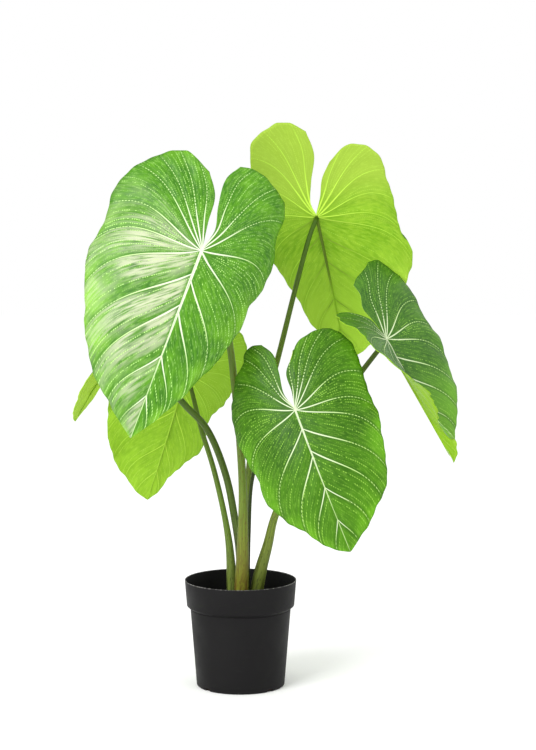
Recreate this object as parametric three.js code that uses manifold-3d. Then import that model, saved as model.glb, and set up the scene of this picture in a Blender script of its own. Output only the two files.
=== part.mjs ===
// A potted philodendron: six heart-shaped leaves on long stalks, in a plain nursery pot filled with soil.
// Millimetres, +Z up. The origin is the middle of the pot's flat underside, and -Y is the front.

import * as THREE from "three";
import { mergeVertices } from "three/addons/utils/BufferGeometryUtils.js";
import Module from "manifold-3d";

const wasm = await Module();
wasm.setup();

const { degToRad, clamp, lerp, smoothstep } = THREE.MathUtils;

// The clear space left between two neighbouring solids.
const GAP = 0.35;

// The curl that stands for a flat section.
const STRAIGHT = 1e-6;

// Two places closer than this are one, and a place nearer than this to the midrib is on it.
const SAME = 1e-4;

// The pot: a thin moulded wall with a deeper collar round its rim.
const POT = {
  height: 144,
  rimRadius: 75,
  lip: 0.5,
  collarDrop: 35.6,
  collarFootRadius: 72.3,
  collarEdge: 0.9,
  stepDrop: 6.4,
  stepRound: 1.5,
  bodyTopRadius: 67.3,
  baseRadius: 59.3,
  baseEdge: 1.6,
  wall: 1.3,
  floor: 1.8,
  sides: 64,
};

// The heights of the collar's foot and of the top of the plain body below it.
const collarFoot = POT.height - POT.collarDrop;
const bodyTop = collarFoot - POT.stepDrop;

// The drainage notches, cut where the wall meets the floor.
const NOTCH = { count: 4, width: 9, height: 3.4, reach: 9, firstAngle: -48 };

// The soil, level with a low crown, and the depth to which the stalks stand in it.
const SOIL = { top: 112, crown: 3, edgeRound: 2, side: 0.5, sides: 40, stalkDepth: 34, holeSides: 20 };

// A stalk's sheath is the share of its length over which the wide foot narrows.
const STALK = { sides: 10, rings: 24, sheath: 0.34, seat: 1.5 };

// A blade's sheet is a grid: its lines run from the midrib to the margin as the veins do.
const BLADE = {
  thickness: 0.9,
  notchBottom: 4,
  lines: 24,
  across: [0, 0.035, 0.2, 0.42, 0.64, 0.84, 1],
  fanEnd: 0.6,
  slide: 1.25,
  bow: 0.1,
  lobeBlend: 0.3,
  foldEase: 1.3,
};

// The colours of the finishes.
const FINISH = {
  pot: { color: 0x1d1e20, roughness: 0.55 },
  soil: { color: 0x2b211a, roughness: 0.95 },
  stalk: { color: 0x6d8434, roughness: 0.5 },
  leafTop: { color: 0x3f8f22, roughness: 0.35 },
  leafUnder: { color: 0x93cc2c, roughness: 0.5 },
};

// The six leaves. joint is where stalk and blade meet. The midrib leaves it downwards: swing turns it to the
// right, lean tips it towards the front, and turn rolls the blade about it, so that 180 shows the underside.
// droop bends the blade back from the joint to the tip, over its length. On each half, lift bends the lobe
// back over its own length, fold raises the half from the midrib and arch curls it down over its width.
// A fold or an arch of three angles is that of the lobe, the joint and the tip. inner runs up the notch
// between the lobes and outer on from there round to the tip, as distances across from the midrib and
// along it from the joint. A stalk runs from its foot in the soil through the given places to the joint,
// and its radii are those of the foot, the middle and the top.
const LEAVES = [
  {
    name: "front_left",
    finish: "leafTop",
    joint: [-48, -95, 589],
    swing: -20.8,
    lean: 22,
    turn: 0,
    length: 258,
    droop: 22,
    left: {
      lobe: 130,
      lift: 2,
      fold: 4,
      arch: 28,
      width: 130,
      inner: [[5, -38], [9, -76], [27, -105]],
      outer: [[70, -123], [110, -96], [136, -57], [135, 16], [140, 50], [119, 114], [80, 189], [36, 230]],
    },
    right: {
      lobe: 130,
      lift: 2,
      fold: 2,
      arch: 68,
      width: 130,
      inner: [[6.5, -32], [-0.5, -64], [-3.5, -104], [8, -127]],
      outer: [
        [26, -132], [54, -126], [74, -119], [93, -105], [97, -86], [96, -66], [104, -46], [107, -25],
        [104, 5], [94, 38], [91, 70], [84, 92], [75, 122], [52, 169], [28, 216],
      ],
    },
    stalk: {
      foot: [1, -6],
      through: [[3.6, -7, 200], [2.8, -9, 285], [-7, -14, 407], [-18, -34, 489]],
      radii: [10.3, 6.6, 4],
    },
  },
  {
    name: "front_middle",
    finish: "leafTop",
    joint: [72, -95, 384],
    swing: 21,
    lean: 25,
    turn: -3,
    length: 197,
    droop: 24,
    left: {
      lobe: 95,
      lift: 2,
      fold: 2,
      arch: 45,
      width: 100,
      inner: [[6.5, -26], [3, -55], [2, -82], [12, -101]],
      outer: [
        [25, -105], [41, -99], [45, -88], [66, -71], [74, -56], [88, -40], [94, -18], [92, 32], [84, 70],
        [85, 92], [72, 123], [45, 154], [19, 186],
      ],
    },
    right: {
      lobe: 95,
      lift: 2,
      fold: 4,
      arch: 32,
      width: 100,
      inner: [[4, -25], [5.5, -51], [19, -69]],
      outer: [
        [35, -87], [76, -93], [95, -80], [103, -43], [100, -10], [100, 41], [91, 88], [79, 127], [46, 163],
        [12, 189],
      ],
    },
    stalk: {
      foot: [10, 22],
      through: [[11.5, 17, 201], [16, 12, 277], [33, -12, 334]],
      radii: [2.4, 2.2, 2.6],
    },
  },
  {
    name: "back_right",
    finish: "leafUnder",
    joint: [103, 75, 628],
    swing: 13.2,
    lean: -22,
    turn: 172,
    length: 213,
    droop: 18,
    left: {
      lobe: 130,
      lift: 2,
      fold: 4,
      arch: 28,
      width: 115,
      inner: [[10, -27], [18, -53], [33, -76]],
      outer: [
        [61, -97], [88, -95], [104, -75], [108, -38], [112, 0], [111, 32], [124, 63], [108, 108], [68, 172],
        [31, 199],
      ],
    },
    right: {
      lobe: 130,
      lift: 2,
      fold: 4,
      arch: 45,
      width: 115,
      inner: [[4, -20], [-3, -52], [-15, -91], [-11, -126]],
      outer: [
        [8, -142], [29, -144], [62, -127], [73, -95], [87, -45], [85, 14], [70, 58], [52, 105], [38, 150],
        [18, 186],
      ],
    },
    stalk: {
      foot: [8, 33],
      through: [[10, 32, 220], [14, 32, 308], [49, 40, 433], [74.6, 52, 534], [94, 64, 604]],
      radii: [3.4, 5.4, 3.2],
    },
  },
  {
    name: "right",
    finish: "leafTop",
    joint: [194, 0, 468],
    swing: 28.7,
    lean: 15,
    turn: 40,
    length: 188,
    droop: 0,
    left: {
      lobe: 66,
      lift: 4,
      fold: [2, 37, 92],
      arch: [5, 5, -5],
      width: 100,
      inner: [[8, -15], [13, -29], [31, -43]],
      outer: [
        [46, -51], [64, -51], [77, -42], [84, -30], [77, -20], [86, -5], [90, 14], [89, 50], [83, 82],
        [60, 109], [36, 124], [21, 138], [19, 152], [29, 166], [20, 177],
      ],
    },
    right: {
      lobe: 104,
      lift: 4,
      fold: 10,
      arch: 30,
      width: 100,
      inner: [[-4, -28], [-9, -50], [-2, -69], [-3, -85]],
      outer: [
        [7, -93], [23, -99], [40, -108], [55, -108], [69, -91], [80, -72], [85, -35], [83, 2], [90, 24],
        [82, 45], [75, 74], [63, 104], [38, 137], [18, 162],
      ],
    },
    stalk: {
      foot: [19, 10],
      through: [[27.4, 9, 154], [36.8, 9, 188.5], [47.6, 11, 231], [100, 22, 335], [163, 24, 422]],
      radii: [10, 5.9, 3.4],
    },
  },
  {
    name: "back_left",
    finish: "leafUnder",
    joint: [-77, 150, 409],
    swing: -16.6,
    lean: -25,
    turn: 175,
    length: 209,
    droop: 18,
    left: {
      lobe: 98,
      lift: 4,
      fold: 5,
      arch: 30,
      width: 100,
      inner: [[8, -30], [10, -60], [22, -80]],
      outer: [
        [50, -93], [68, -84], [76, -64], [79, -40], [76, -10], [63, 28], [48, 72], [53, 104], [38, 135],
        [22, 160], [12, 191],
      ],
    },
    right: {
      lobe: 98,
      lift: 4,
      fold: 5,
      arch: 30,
      width: 100,
      inner: [[6, -30], [6, -62], [16, -88]],
      outer: [
        [40, -98], [75, -85], [98, -45], [104, 0], [102, 45], [94, 84], [85, 126], [64, 165], [40, 188],
        [16, 204],
      ],
    },
    stalk: {
      foot: [-10.5, 13],
      through: [[-16, 15, 195], [-35, 37, 282], [-55, 70, 341], [-69, 110, 388]],
      radii: [7.8, 4.9, 2.9],
    },
  },
  {
    name: "far_left",
    finish: "leafUnder",
    joint: [-137, 0, 474],
    swing: -45.8,
    lean: -12,
    turn: -98,
    length: 151,
    droop: 20,
    left: {
      lobe: 66,
      lift: 4,
      fold: 2,
      arch: 5,
      width: 70,
      inner: [[5, -22], [4, -45], [12, -58]],
      outer: [[34, -66], [56, -52], [67, -20], [68, 20], [62, 60], [50, 92], [33, 122], [14, 141]],
    },
    right: {
      lobe: 66,
      lift: 4,
      fold: 3,
      arch: 5,
      width: 70,
      inner: [[5, -22], [4, -45], [12, -58]],
      outer: [[34, -66], [56, -52], [67, -20], [68, 20], [66, 60], [57, 92], [35, 124], [14, 144]],
    },
    stalk: {
      foot: [-1, 26],
      through: [
        [-1.6, 26, 173], [-7.6, 25, 220], [-20.6, 26, 284],
        [-46, 28, 345], [-80, 24, 383], [-117, 12, 440],
      ],
      radii: [5.4, 5.8, 4.2],
    },
  },
];

// A closed mesh's solid, for cutting.
function solidOf(geometry) {
  const bare = geometry.clone();
  bare.deleteAttribute("normal");
  bare.deleteAttribute("uv");
  const merged = mergeVertices(bare, SAME);
  return new wasm.Manifold(
    new wasm.Mesh({
      numProp: 3,
      vertProperties: merged.attributes.position.array,
      triVerts: merged.index.array,
    }),
  );
}

// The drawable geometry of a solid that has been cut.
function geometryOf(solid) {
  const mesh = solid.getMesh();
  const geometry = new THREE.BufferGeometry();
  geometry.setAttribute("position", new THREE.BufferAttribute(mesh.vertProperties, 3));
  geometry.setIndex(new THREE.BufferAttribute(mesh.triVerts, 1));
  geometry.computeVertexNormals();
  return geometry;
}

// A profile of radius and height turned round the vertical axis.
function turned(profile, sides) {
  const points = profile.map(([radius, height]) => new THREE.Vector2(radius, height));
  return new THREE.LatheGeometry(points, sides).rotateX(Math.PI / 2);
}

function meshOf(name, geometry, finish) {
  const mesh = new THREE.Mesh(geometry, new THREE.MeshStandardMaterial({ metalness: 0, ...finish }));
  mesh.name = name;
  return mesh;
}

function potGeometry() {
  const profile = [
    [0, 0],
    [POT.baseRadius - POT.baseEdge, 0],
    [POT.baseRadius, POT.baseEdge],
    [POT.bodyTopRadius, bodyTop],
    [POT.bodyTopRadius + POT.stepRound, bodyTop + POT.stepRound],
    [POT.collarFootRadius - POT.collarEdge, collarFoot],
    [POT.collarFootRadius, collarFoot + POT.collarEdge],
    [POT.rimRadius, POT.height - POT.lip],
    [POT.rimRadius - POT.lip, POT.height],
    [POT.rimRadius - POT.wall, POT.height - POT.lip],
    [POT.collarFootRadius - POT.wall, collarFoot + POT.collarEdge],
    [POT.bodyTopRadius - POT.wall, bodyTop],
    [POT.baseRadius - POT.wall, POT.floor],
    [0, POT.floor],
  ];
  let pot = solidOf(turned(profile, POT.sides));
  for (let i = 0; i < NOTCH.count; i++) {
    const cutter = new THREE.BoxGeometry(NOTCH.reach, NOTCH.width, 2 * NOTCH.height);
    cutter.translate(POT.baseRadius, 0, 0);
    cutter.rotateZ(degToRad(NOTCH.firstAngle + (360 / NOTCH.count) * i));
    pot = pot.subtract(solidOf(cutter));
  }
  return geometryOf(pot);
}

// The directions of a leaf at its joint: along the midrib, up from the upper face, and to the right of it.
function leafFrame(leaf) {
  const swing = degToRad(leaf.swing);
  const lean = degToRad(leaf.lean);
  const turn = degToRad(leaf.turn);
  const along = new THREE.Vector3(
    Math.sin(swing) * Math.cos(lean),
    -Math.sin(lean),
    -Math.cos(swing) * Math.cos(lean),
  );
  const facing = new THREE.Vector3(0, -1, 0).projectOnPlane(along).normalize();
  const aside = new THREE.Vector3().crossVectors(facing, along);
  const up = facing.clone().multiplyScalar(Math.cos(turn)).addScaledVector(aside, Math.sin(turn));
  const right = aside.multiplyScalar(Math.cos(turn)).addScaledVector(facing, -Math.sin(turn));
  return { along, up, right };
}

// A half's place in space, for a distance across from the midrib and a distance along it.
function placeOnBlade(leaf, frame, side, across, along) {
  const half = side < 0 ? leaf.left : leaf.right;
  const bend = (along < 0 ? degToRad(half.lift) / half.lobe : degToRad(leaf.droop) / leaf.length) || STRAIGHT;
  const angle = bend * along;
  const forward = Math.sin(angle) / bend;
  const down = (1 - Math.cos(angle)) / bend;
  const up = frame.along.clone().multiplyScalar(Math.sin(angle)).addScaledVector(frame.up, Math.cos(angle));

  const reach = clamp(along < 0 ? -along / half.lobe : along / leaf.length, 0, 1) ** BLADE.foldEase;
  const between = (angle) => {
    const [lobe, joint, tip] = Array.isArray(angle) ? angle : [angle, angle, angle];
    return degToRad(lerp(joint, along < 0 ? lobe : tip, reach));
  };
  const fold = between(half.fold);
  const curl = between(half.arch) / half.width || STRAIGHT;
  const slope = fold - curl * across;
  const out = (Math.sin(fold) - Math.sin(slope)) / curl;
  const rise = (Math.cos(slope) - Math.cos(fold)) / curl;
  return new THREE.Vector3(...leaf.joint)
    .addScaledVector(frame.along, forward)
    .addScaledVector(frame.up, -down)
    .addScaledVector(frame.right, side * out)
    .addScaledVector(up, rise);
}

function smoothLine(points) {
  const places = points.map(([across, along]) => new THREE.Vector3(across, along, 0));
  return new THREE.CatmullRomCurve3(places, false, "centripetal");
}

// The flat grid of one half: each line runs from the joint or the midrib out to the margin.
function flatHalf(leaf, half) {
  const notch = [0, -BLADE.notchBottom];
  const inner = smoothLine([notch, ...half.inner]);
  const outer = smoothLine([half.inner[half.inner.length - 1], ...half.outer, [0, leaf.length]]);
  const lobeTop = inner.getPointAt(1);
  const firstStep = BLADE.across[1];
  const rows = [];
  for (let i = 0; i <= BLADE.lines; i++) {
    const s = i / BLADE.lines;
    const beyondFan = clamp((s - BLADE.fanEnd) / (1 - BLADE.fanEnd), 0, 1);
    const start = new THREE.Vector3(0, leaf.length * beyondFan ** BLADE.slide, 0);
    const chord = outer.getPointAt(s).sub(start);
    const bow = BLADE.bow * smoothstep(s, 0, 0.4) * smoothstep(1 - s, 0, 0.3);
    const lobeShare = clamp(1 - s / BLADE.lobeBlend, 0, 1) ** 2;
    const row = BLADE.across.map((t) => {
      const place = start.clone().addScaledVector(chord, t);
      const swell = bow * 4 * t * (1 - t);
      place.add(new THREE.Vector3(chord.y, -chord.x, 0).multiplyScalar(swell));
      if (lobeShare > 0 && t > 0) {
        const margin = t < firstStep ? null : inner.getPointAt((t - firstStep) / (1 - firstStep));
        place.addScaledVector(margin.addScaledVector(lobeTop, -t), lobeShare);
      }
      return place;
    });
    rows.push(row);
  }
  return rows;
}

// The middle sheet of a blade: both halves share the joint, the notch's bottom and the midrib.
function bladeSheet(leaf, frame) {
  const places = [];
  const triangles = [];
  const known = new Map();
  const vertex = (side, flat) => {
    const place = placeOnBlade(leaf, frame, side, flat.x, flat.y);
    const onAxis = Math.abs(flat.x) < SAME;
    const key = [onAxis ? 0 : side, flat.x.toFixed(3), flat.y.toFixed(3)].join();
    if (!known.has(key)) {
      known.set(key, places.length);
      places.push(place);
    }
    return known.get(key);
  };
  const triangle = (a, b, c) => {
    if (a !== b && b !== c && a !== c) triangles.push([a, b, c]);
  };
  for (const side of [-1, 1]) {
    const rows = flatHalf(leaf, side < 0 ? leaf.left : leaf.right);
    const ids = rows.map((row) => row.map((flat) => vertex(side, flat)));
    for (let i = 0; i < ids.length - 1; i++) {
      for (let j = 0; j < ids[i].length - 1; j++) {
        const [a, b, c, d] = [ids[i][j], ids[i][j + 1], ids[i + 1][j + 1], ids[i + 1][j]];
        if (side > 0) {
          triangle(a, c, b);
          triangle(a, d, c);
        } else {
          triangle(a, b, c);
          triangle(a, c, d);
        }
      }
    }
  }
  return { places, triangles };
}

// The sheet thickened to both sides, with a wall round its open edge.
function bladeGeometry(leaf, frame) {
  const { places, triangles } = bladeSheet(leaf, frame);
  const sheet = new THREE.BufferGeometry().setFromPoints(places);
  sheet.setIndex(triangles.flat());
  sheet.computeVertexNormals();
  const normals = sheet.getAttribute("normal");
  const count = places.length;
  const offset = (face) =>
    places.map((place, i) => {
      const normal = new THREE.Vector3().fromBufferAttribute(normals, i);
      return place.clone().addScaledVector(normal, (face * BLADE.thickness) / 2);
    });
  const solid = new THREE.BufferGeometry().setFromPoints([...offset(1), ...offset(-1)]);
  const faces = [];
  const edges = new Map();
  for (const [a, b, c] of triangles) {
    faces.push(a, b, c, count + a, count + c, count + b);
    for (const [from, to] of [[a, b], [b, c], [c, a]]) {
      if (!edges.delete(to + "," + from)) edges.set(from + "," + to, [from, to]);
    }
  }
  for (const [from, to] of edges.values()) {
    faces.push(to, from, count + from, to, count + from, count + to);
  }
  solid.setIndex(faces);
  solid.computeVertexNormals();
  return solid;
}

// A stalk's course: straight through the soil, then one sweep up to the underside of the blade.
function stalkCourse(leaf, frame) {
  const ground = new THREE.Vector3(...leaf.stalk.foot, SOIL.top);
  const through = leaf.stalk.through.map((place) => new THREE.Vector3(...place));
  const rise = through[0].clone().sub(ground).normalize();
  const bottom = ground.clone().addScaledVector(rise, -SOIL.stalkDepth);
  const seat = new THREE.Vector3(...leaf.joint)
    .addScaledVector(frame.along, STALK.seat)
    .addScaledVector(frame.up, -(BLADE.thickness / 2 + GAP));
  const course = new THREE.CurvePath();
  course.add(new THREE.LineCurve3(bottom, ground));
  course.add(new THREE.CatmullRomCurve3([ground, ...through, seat], false, "centripetal"));
  return { course, bottom, rise, seat };
}

// The radius at a share of the whole course, which is even below the ground.
function stalkRadius(stalk, share, buried) {
  const [foot, middle, top] = stalk.radii;
  const grown = clamp((share - buried) / (1 - buried), 0, 1);
  return lerp(middle, top, grown) + (foot - middle) * (1 - smoothstep(grown, 0, STALK.sheath));
}

// A tapering round bar bent along its course, its top end cut level with the underside of the blade.
function stalkGeometry(leaf, frame) {
  const { course, seat } = stalkCourse(leaf, frame);
  const bar = new THREE.CylinderGeometry(1, 1, STALK.rings, STALK.sides, STALK.rings);
  const frames = course.computeFrenetFrames(STALK.rings);
  const buried = SOIL.stalkDepth / course.getLength();
  const spot = bar.getAttribute("position");
  for (let i = 0; i < spot.count; i++) {
    const ring = Math.round(spot.getY(i) + STALK.rings / 2);
    const share = ring / STALK.rings;
    const radius = stalkRadius(leaf.stalk, share, buried);
    const place = course
      .getPointAt(share)
      .addScaledVector(frames.binormals[ring], radius * spot.getX(i))
      .addScaledVector(frames.normals[ring], radius * spot.getZ(i));
    if (ring === STALK.rings) {
      const direction = frames.tangents[ring];
      const above = place.clone().sub(seat).dot(frame.up);
      place.addScaledVector(direction, -above / direction.dot(frame.up));
    }
    spot.setXYZ(i, place.x, place.y, place.z);
  }
  bar.computeVertexNormals();
  return bar;
}

// The plain hole that a stalk stands in, open at the top of the soil.
function holeSolid(leaf) {
  const { bottom, rise } = stalkCourse(leaf, leafFrame(leaf));
  const radius = leaf.stalk.radii[0] + GAP;
  const depth = 2 * SOIL.stalkDepth;
  const hole = new THREE.CylinderGeometry(radius, radius, depth, SOIL.holeSides);
  hole.applyQuaternion(new THREE.Quaternion().setFromUnitVectors(new THREE.Vector3(0, 1, 0), rise));
  const middle = bottom.clone().addScaledVector(rise, depth / 2 - GAP);
  hole.translate(middle.x, middle.y, middle.z);
  return solidOf(hole);
}

// The soil, filling the pot up to below its collar.
function soilGeometry() {
  const inset = POT.wall + SOIL.side;
  const profile = [
    [0, POT.floor + GAP],
    [POT.baseRadius - inset, POT.floor + GAP],
    [POT.bodyTopRadius - inset, bodyTop],
    [POT.bodyTopRadius - inset, SOIL.top - SOIL.edgeRound],
    [POT.bodyTopRadius - inset - SOIL.edgeRound, SOIL.top],
    [0, SOIL.top + SOIL.crown],
  ];
  let soil = solidOf(turned(profile, SOIL.sides));
  for (const leaf of LEAVES) soil = soil.subtract(holeSolid(leaf));
  return geometryOf(soil);
}

const plant = new THREE.Group();
plant.add(meshOf("pot", potGeometry(), FINISH.pot));
plant.add(meshOf("soil", soilGeometry(), FINISH.soil));
for (const leaf of LEAVES) {
  const frame = leafFrame(leaf);
  plant.add(meshOf("stalk_" + leaf.name, stalkGeometry(leaf, frame), FINISH.stalk));
  plant.add(meshOf("blade_" + leaf.name, bladeGeometry(leaf, frame), FINISH[leaf.finish]));
}

export default plant;
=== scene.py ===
"""A potted philodendron: six heart-shaped leaves on long stalks, in a plain black plastic pot.

Sizes are in millimetres, as in the part's source, and become metres where a mesh is made.
"""

import logging
import math
import random
from collections.abc import Sequence
from dataclasses import dataclass, replace
from enum import Enum

import bmesh
import bpy
import numpy as np
from bmesh.types import BMEdge, BMesh, BMVert
from bpy.types import ID, Material, NodeSocket, Object
from mathutils import Matrix, Vector, noise


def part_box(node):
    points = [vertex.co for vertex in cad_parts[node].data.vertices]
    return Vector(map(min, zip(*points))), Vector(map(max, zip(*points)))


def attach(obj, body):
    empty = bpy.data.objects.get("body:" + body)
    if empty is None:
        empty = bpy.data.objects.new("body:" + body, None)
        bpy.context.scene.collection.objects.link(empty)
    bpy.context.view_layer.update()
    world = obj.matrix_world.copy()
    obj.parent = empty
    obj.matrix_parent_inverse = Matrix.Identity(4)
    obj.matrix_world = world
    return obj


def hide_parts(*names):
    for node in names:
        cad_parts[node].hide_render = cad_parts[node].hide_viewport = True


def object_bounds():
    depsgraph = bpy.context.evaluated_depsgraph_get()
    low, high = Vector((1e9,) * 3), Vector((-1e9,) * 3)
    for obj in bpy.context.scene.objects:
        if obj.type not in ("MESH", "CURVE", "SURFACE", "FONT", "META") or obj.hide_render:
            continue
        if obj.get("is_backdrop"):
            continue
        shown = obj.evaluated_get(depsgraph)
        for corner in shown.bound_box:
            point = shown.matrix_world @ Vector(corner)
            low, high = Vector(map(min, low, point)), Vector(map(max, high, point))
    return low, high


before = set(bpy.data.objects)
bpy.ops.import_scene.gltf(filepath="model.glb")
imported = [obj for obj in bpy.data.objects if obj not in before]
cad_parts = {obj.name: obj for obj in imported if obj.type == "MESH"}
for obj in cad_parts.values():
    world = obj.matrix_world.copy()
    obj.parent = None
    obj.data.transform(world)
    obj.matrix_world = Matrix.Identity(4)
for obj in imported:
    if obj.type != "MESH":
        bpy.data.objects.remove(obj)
CAD_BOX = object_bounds()

log = logging.getLogger("scene")

MM = 0.001
ROOT = "root"
UP = Vector((0, 0, 1))
# What is too small to count
STRAIGHT = 1e-6
# How high the soil stands, and how deep the stalks stand in it
SOIL_TOP = 112.0
BURIED = 34.0
# How far round a stalk the channel along it fades out, in radians
GROOVE_ANGLE = 0.5

Array = np.ndarray
Flat = tuple[float, float]
Triple = tuple[float, float, float]


class Slot(Enum):
    """The record's material slots."""

    POT = "pot"
    SOIL = "soil"
    STALK = "stalk"
    LEAF_TOP = "leaf_top"
    LEAF_UNDER = "leaf_under"


# Numbers and curves

def clamp01(values: Array) -> Array:
    """Holds values between 0 and 1."""
    return np.clip(values, 0.0, 1.0)


def smooth(values: Array | float, low: float, high: float) -> Array:
    """Rises smoothly from 0 to 1 while a value goes from low to high."""
    share = clamp01((np.asarray(values, float) - low) / (high - low))
    return share * share * (3 - 2 * share)


def walked(places: Array) -> Array:
    """Measures the distance from the start of its row to each place."""
    steps = np.linalg.norm(np.diff(places, axis=-2), axis=-1)
    return np.concatenate([np.zeros((*steps.shape[:-1], 1)), np.cumsum(steps, axis=-1)], axis=-1)


def linear(code: str) -> tuple[float, float, float, float]:
    """Turns a screen colour's six hexadecimal digits into the linear colour that a shader reads."""
    parts = [int(code[i:i + 2], 16) / 255 for i in (0, 2, 4)]
    return tuple(p / 12.92 if p <= 0.04045 else ((p + 0.055) / 1.055) ** 2.4 for p in parts) + (1.0,)


class SmoothLine:
    """A centripetal Catmull-Rom curve through given points, walked by its length."""

    STEPS = 40

    def __init__(self, points: Sequence[Sequence[float]], lead: Sequence[float] | None = None) -> None:
        """Lays the curve out.

        Args:
            points: The points that it passes through.
            lead: A point from which a straight run leads up to the first one.
        """
        given = [np.array(point, float) for point in points]
        given = [2 * given[0] - given[1], *given, 2 * given[-1] - given[-2]]
        places = [] if lead is None else [np.array(lead, float)]
        w = np.arange(self.STEPS)[:, None] / self.STEPS
        for before, start, end, after in zip(given, given[1:], given[2:], given[3:]):
            first, middle, last = (
                math.sqrt(np.linalg.norm(b - a)) for a, b in ((before, start), (start, end), (end, after))
            )
            span = end - start
            leaving = middle * ((start - before) / first - (end - before) / (first + middle)) + span
            arriving = span + middle * ((after - end) / last - (after - start) / (middle + last))
            square = (3 * span - 2 * leaving - arriving) * w * w
            places.extend(start + leaving * w + square + (leaving + arriving - 2 * span) * w ** 3)
        places.append(given[-2])
        self.places = np.array(places)
        self.walked = walked(self.places)

    @property
    def length(self) -> float:
        """The curve's whole length."""
        return float(self.walked[-1])

    def at(self, share: Array | float) -> Array:
        """Gives the places at shares of the whole length, their coordinates along the last axis."""
        reached = np.asarray(share, float) * self.walked[-1]
        return np.stack([np.interp(reached, self.walked, axis) for axis in self.places.T], axis=-1)


# Meshes

def linked(name: str, data: ID) -> Object:
    """Makes an object and puts it into the scene.

    Args:
        name: Its name.
        data: Its mesh, light or camera.

    Returns:
        The new object.
    """
    thing = bpy.data.objects.new(name, data)
    bpy.context.scene.collection.objects.link(thing)
    return thing


def meshed(name: str, maker: BMesh) -> Object:
    """Makes an object of a bmesh, which is freed.

    Args:
        name: The object's name, which its mesh has too.
        maker: The bmesh.

    Returns:
        The new object.
    """
    mesh = bpy.data.meshes.new(name)
    maker.to_mesh(mesh)
    maker.free()
    return linked(name, mesh)


def finished(name: str, maker: BMesh, materials: Sequence[Material],
             slot: Slot, stands_for: str | None = None) -> Object:
    """Turns a bmesh into a smooth-shaded piece that rides on the root body.

    Args:
        name: The piece's name.
        maker: The bmesh, which is freed.
        materials: Its materials, in the order of its faces' material numbers.
        slot: The record's slot for the piece's finish, which is not used.
        stands_for: The CAD node that it replaces.

    Returns:
        The new object.
    """
    piece = meshed(name, maker)
    piece.data.shade_smooth()
    for material in materials:
        piece.data.materials.append(material)
    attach(piece, ROOT)
    slot.value
    if stands_for:
        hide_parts(stands_for)
    log.info("%s: %d faces", name, len(piece.data.polygons))
    return piece


def ring_frames(centres: Array) -> list[Matrix]:
    """Gives a frame for each ring of a bar, turned as little as possible from ring to ring.

    Args:
        centres: The rings' centres in metres.

    Returns:
        Matrices that take a flat ring at the origin to each place, facing along the bar.
    """
    headings = [Vector(step).normalized() for step in np.gradient(centres, axis=0)]
    aside = Vector((1, 0, 0))
    frames = []
    for heading, centre in zip(headings, centres):
        aside = (aside - heading * aside.dot(heading)).normalized()
        other = heading.cross(aside)
        turned = Matrix((aside, other, heading)).transposed().to_4x4()
        frames.append(Matrix.Translation(Vector(centre)) @ turned)
    return frames


def drawn_bar(centres: Array, radii: Sequence[float], sides: int, groove: float = 0.0) -> BMesh:
    """Draws a round section along a course, ring by ring, and closes both ends.

    Args:
        centres: The rings' centres in metres.
        radii: The rings' radii in metres.
        sides: The number of sides of the section.
        groove: How deep the channel along one side is, as a share of the radius.

    Returns:
        The bar, with its skin's own coordinates in the vertex layer Skin: the direction round the
        section in x and y, and the millimetres along the course in z.
    """
    bar = bmesh.new()
    skin = bar.verts.layers.float_vector.new("Skin")
    run = walked(centres) / MM
    bmesh.ops.create_circle(bar, cap_ends=False, segments=sides, radius=1.0)
    for vertex in bar.verts:
        vertex[skin] = vertex.co
        depth = groove * math.exp(-(vertex.co.angle(Vector((1, 0, 0))) / GROOVE_ANGLE) ** 2)
        vertex.co *= 1 - depth
    first_edges = bar.edges[:]
    edges = first_edges
    ring = bar.verts[:]
    previous = Matrix.Identity(4)
    for i, place in enumerate(ring_frames(centres)):
        if i:
            grown = bmesh.ops.extrude_edge_only(bar, edges=edges)["geom"]
            ring = [item for item in grown if isinstance(item, BMVert)]
            edges = [item for item in grown if isinstance(item, BMEdge)]
        here = place @ Matrix.Diagonal((radii[i], radii[i], 1, 1))
        bmesh.ops.transform(bar, matrix=here @ previous.inverted(), verts=ring)
        previous = here
        for vertex in ring:
            vertex[skin] = (vertex[skin][0], vertex[skin][1], run[i])
    bmesh.ops.edgeloop_fill(bar, edges=first_edges)
    bmesh.ops.edgeloop_fill(bar, edges=edges)
    bmesh.ops.recalc_face_normals(bar, faces=bar.faces)
    return bar


# Finishes

@dataclass(frozen=True)
class Signal:
    """What a node gives out, which can be reckoned with as a plain number can."""

    shading: "Shading"
    socket: NodeSocket

    def __add__(self, other: "Value") -> "Signal":
        """Adds to it."""
        return self.shading.math("ADD", self, other)

    def __sub__(self, other: "Value") -> "Signal":
        """Takes away from it."""
        return self.shading.math("SUBTRACT", self, other)

    def __rsub__(self, other: float) -> "Signal":
        """Takes it away from a plain number."""
        return self.shading.math("SUBTRACT", other, self)

    def __mul__(self, other: "Value") -> "Signal":
        """Multiplies it."""
        return self.shading.math("MULTIPLY", self, other)

    def __truediv__(self, other: "Value") -> "Signal":
        """Divides it."""
        return self.shading.math("DIVIDE", self, other)

    def __abs__(self) -> "Signal":
        """Drops its sign."""
        return self.shading.math("ABSOLUTE", self)

    def __round__(self) -> "Signal":
        """Takes it to the nearest whole number."""
        return self.shading.math("ROUND", self)

    def rise(self, start: "Value", end: "Value", low: "Value" = 0.0, high: "Value" = 1.0) -> "Signal":
        """Goes smoothly from low to high while this goes from start to end."""
        inputs = {0: self, 1: start, 2: end, 3: low, 4: high}
        return self.shading.node("MapRange", inputs, interpolation_type="SMOOTHSTEP")


Value = float | Signal
Colour = str | Signal


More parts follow.
